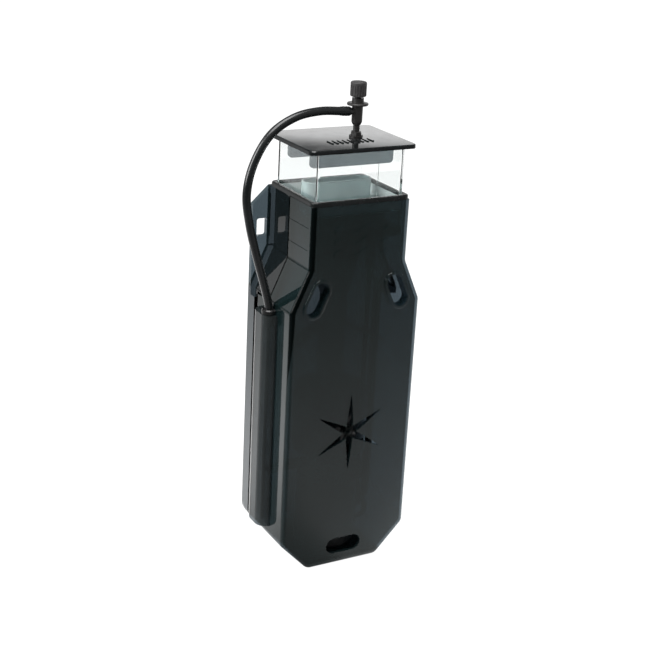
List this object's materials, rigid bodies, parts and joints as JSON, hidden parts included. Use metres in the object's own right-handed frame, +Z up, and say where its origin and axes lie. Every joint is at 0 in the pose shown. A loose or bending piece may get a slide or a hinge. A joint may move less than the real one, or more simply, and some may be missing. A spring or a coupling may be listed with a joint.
{
  "type": "protein skimmer",
  "caption": "Slim smoked-acrylic internal protein skimmer with clear lift-out foam cup, lid-mounted air valve, side air channel and built-in needle-wheel pump.",
  "frame": {"origin": "centre of the flat underside of the body", "axes": "+Z up; the front face with the radial intake vent looks towards -Y; the flat hanging panel is the +Y side; the air channel and hose are on the -X side"},
  "size_m": [0.1311, 0.071, 0.3606],
  "materials": {
    "smoked_shell": "deep smoke-grey transparent acrylic, polished",
    "smoked_channel": "deep smoke-grey transparent acrylic, polished",
    "socket_rubber": "moulded, satin",
    "seal_rubber": "moulded, satin",
    "clear_acrylic": "clear cast acrylic, polished",
    "grey_acrylic": "light grey transparent acrylic, polished",
    "smoked_lid": "smoke-grey acrylic, polished",
    "valve_black": "moulded nylon, fine grain",
    "knob_black": "moulded, fluted",
    "hose_silicone": "extruded silicone, soft sheen",
    "grey_chamber": "dark grey moulded plastic",
    "pump_black": "moulded, fine grain",
    "lamination_steel": "stacked laminations, resin coated",
    "copper_winding": "enamelled copper wire",
    "ceramic_shaft": "ground white ceramic",
    "ferrite_magnet": "moulded ferrite, dark grey",
    "wheel_plastic": "natural white moulded nylon",
    "filter_foam": "open-cell foam",
    "cord_jacket": "extruded, satin"
  },
  "bodies": {
    "housing": {"front_shell": "smoked_shell", "rear_shell": "smoked_shell", "rear_neck": "smoked_shell", "hang_wing_left": "smoked_shell", "hang_wing_right": "smoked_shell", "air_channel": "smoked_channel", "hose_socket": "socket_rubber", "rim_seal": "seal_rubber", "air_hose": "hose_silicone", "reaction_chamber": "grey_chamber", "pump_housing": "pump_black", "stator_core": "lamination_steel", "stator_coils": "copper_winding", "rotor_shaft": "ceramic_shaft", "lower_bush": "seal_rubber", "pump_volute": "pump_black", "upper_bush": "seal_rubber", "venturi_tee": "pump_black", "air_link": "hose_silicone", "intake_sponge": "filter_foam", "pump_feet": "seal_rubber", "cord_gland": "seal_rubber", "power_cord": "cord_jacket", "cord_grommet": "seal_rubber"},
    "cup": {"collection_cup": "clear_acrylic", "riser_tube": "grey_acrylic"},
    "lid": {"lid": "smoked_lid", "valve_nut": "valve_black", "valve_washer": "valve_black", "valve_body": "valve_black"},
    "needle": {"valve_needle": "valve_black", "valve_o_ring": "seal_rubber"},
    "knob": {"valve_knob": "knob_black"},
    "rotor": {"rotor_magnet": "ferrite_magnet", "needle_wheel": "wheel_plastic"}
  },
  "joints": [
    {"name": "cup_lift", "type": "slide", "parent": "housing", "child": "cup", "axis": [0, 0, 1], "range_m": [0, 0.06], "deforming": ["air_hose"]},
    {"name": "lid_lift", "type": "slide", "parent": "cup", "child": "lid", "axis": [0, 0, 1], "range_m": [0, 0.03], "deforming": ["air_hose"]},
    {"name": "needle_travel", "type": "slide", "parent": "lid", "child": "needle", "axis": [0, 0, 1], "range_m": [-0.001, 0.002]},
    {"name": "knob_turn", "type": "hinge", "parent": "needle", "child": "knob", "pos_m": [0.0105, -0.0015, 0.355], "axis": [0, 0, 1], "range_deg": [-360, 720]},
    {"name": "impeller_spin", "type": "hinge", "parent": "housing", "child": "rotor", "pos_m": [0.002, 0, 0.03], "axis": [0, 0, 1], "continuous": true}
  ],
  "couplings": [
    {"joint": "knob_turn", "follows": "needle_travel", "rad_per_m": 6283.2}
  ]
}
